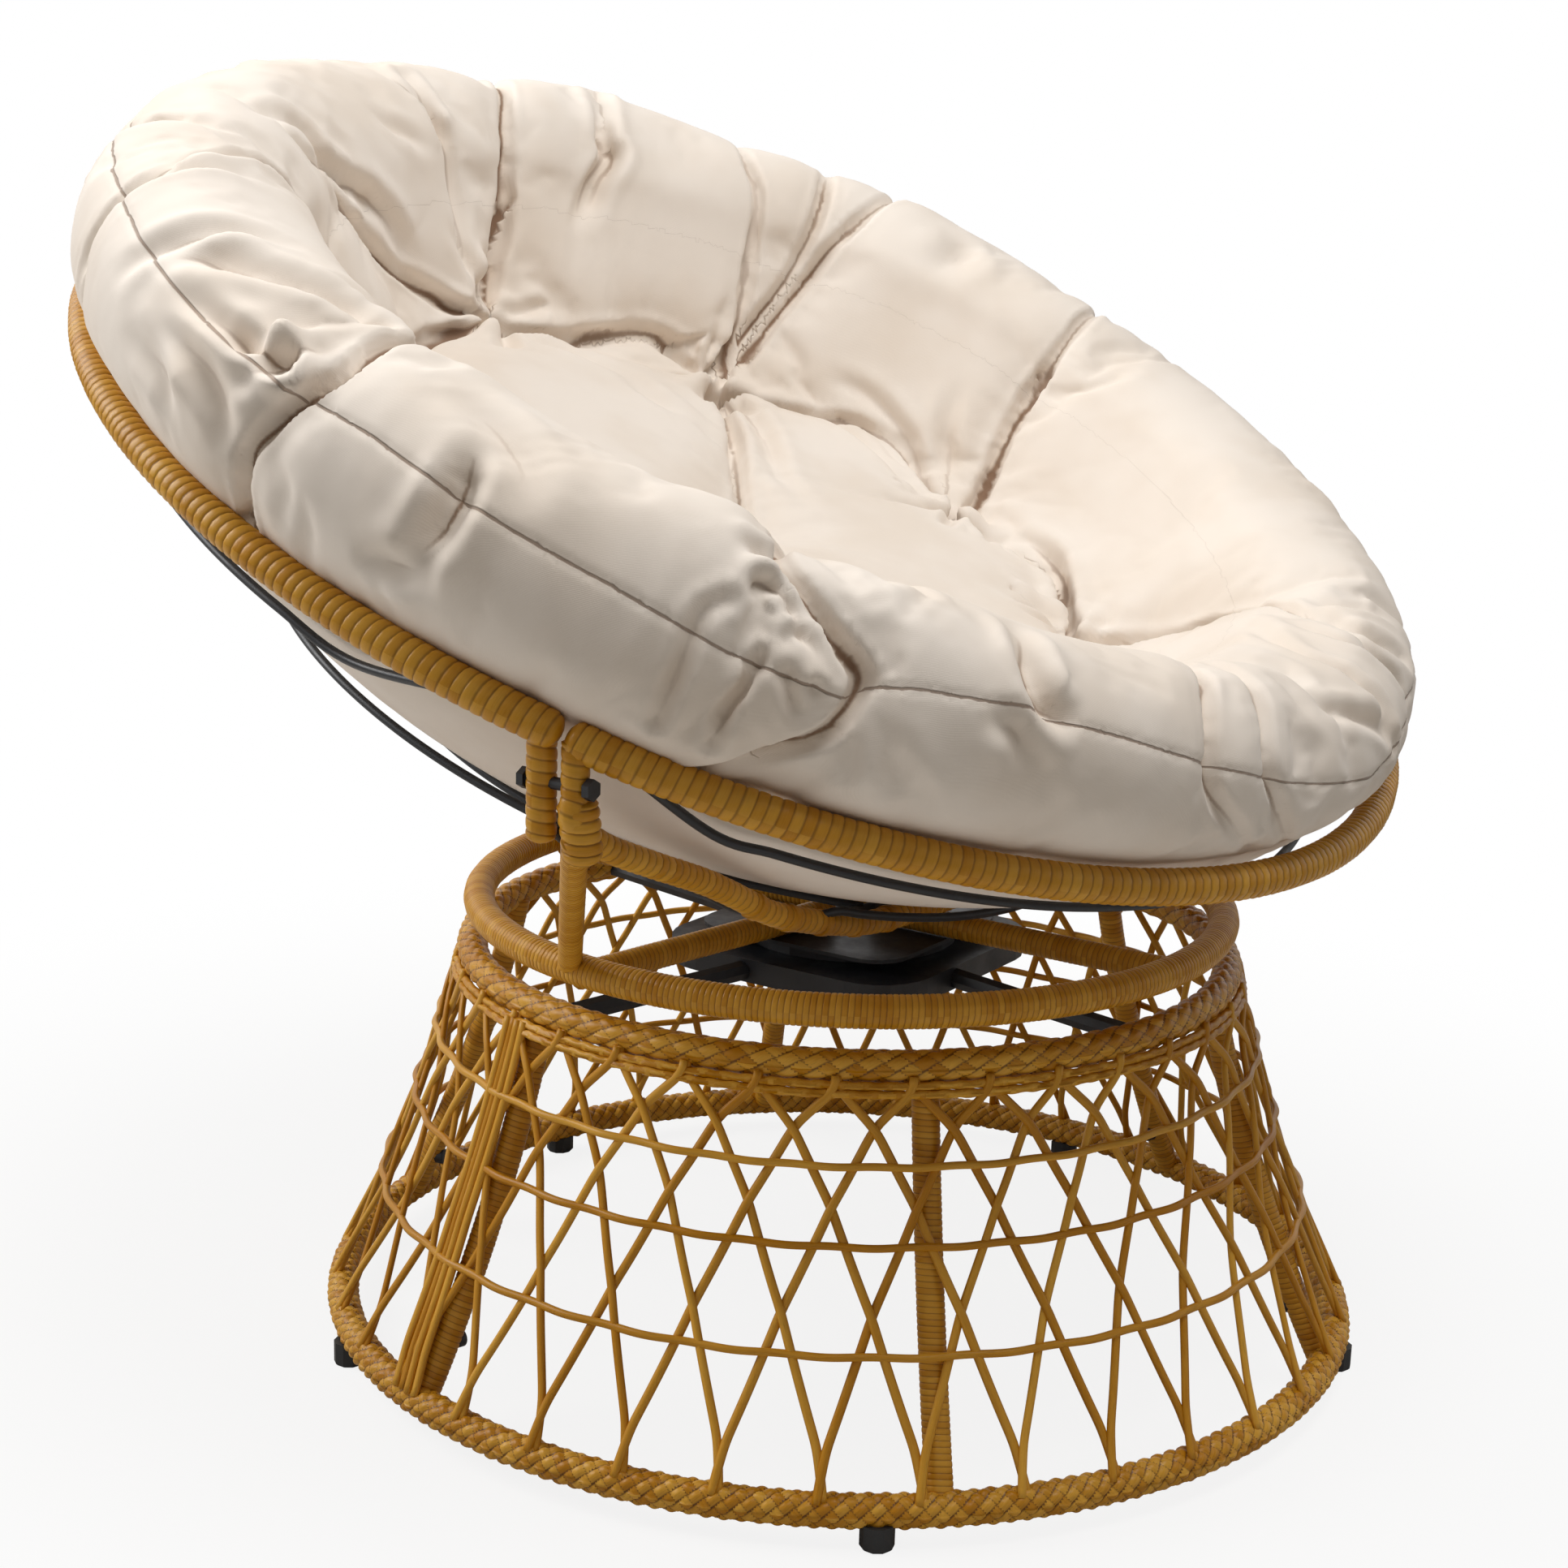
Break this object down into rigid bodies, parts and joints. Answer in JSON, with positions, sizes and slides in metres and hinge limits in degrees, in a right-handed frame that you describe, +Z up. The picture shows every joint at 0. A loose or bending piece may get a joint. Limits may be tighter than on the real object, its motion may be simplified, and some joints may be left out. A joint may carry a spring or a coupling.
{
  "type": "papasan chair",
  "caption": "Round tufted cushion in a tilted wrapped hoop frame that swivels on a bell-shaped base with an open woven skirt.",
  "frame": {"origin": "on the floor, under the middle of the chair's outer box; the swivel axis stands 89.12 mm in front of it", "axes": "+Z up, -Y towards the low front of the seat, +X to the right as seen from the front"},
  "size_m": [1.07, 0.989, 0.9632],
  "materials": {
    "wrap": "satin",
    "braid": "satin",
    "strand": "satin",
    "steel": "satin",
    "glide": "matte",
    "cloth": "matte"
  },
  "bodies": {
    "base": {"base_bottom_ring": "braid", "base_top_ring": "braid", "base_leg_1": "wrap", "base_leg_2": "wrap", "base_leg_3": "wrap", "base_leg_4": "wrap", "base_leg_5": "wrap", "base_leg_6": "wrap", "foot_1": "glide", "foot_2": "glide", "foot_3": "glide", "foot_4": "glide", "foot_5": "glide", "skirt_panel_1": "strand", "skirt_panel_2": "strand", "skirt_panel_3": "strand", "skirt_panel_4": "strand", "skirt_panel_5": "strand", "skirt_panel_6": "strand", "base_arm_1": "steel", "base_arm_2": "steel", "base_arm_3": "steel", "base_arm_4": "steel", "swivel_lower_plate": "steel", "swivel_race": "steel", "swivel_pin": "steel"},
    "bowl": {"swivel_upper_plate": "steel", "swivel_ring": "wrap", "crossbar_1": "wrap", "crossbar_2": "wrap", "crossbar_3": "wrap", "crossbar_4": "wrap", "brace_left": "wrap", "brace_right": "wrap", "hoop_front": "wrap", "hoop_rear": "wrap", "front_spine": "wrap", "rear_spine": "steel", "rear_post_left": "wrap", "rear_post_right": "wrap", "joint_bolt_left": "steel", "joint_bolt_right": "steel", "rear_rod_upper": "steel", "rear_rod_middle": "steel", "rear_rod_lower": "steel", "front_rod_upper": "steel", "front_rod_middle": "steel", "seat_cushion": "cloth"}
  },
  "joints": [
    {"name": "seat_swivel", "type": "hinge", "parent": "base", "child": "bowl", "pos_m": [0, -0.08912, 0.32], "axis": [0, 0, 1], "continuous": true}
  ]
}
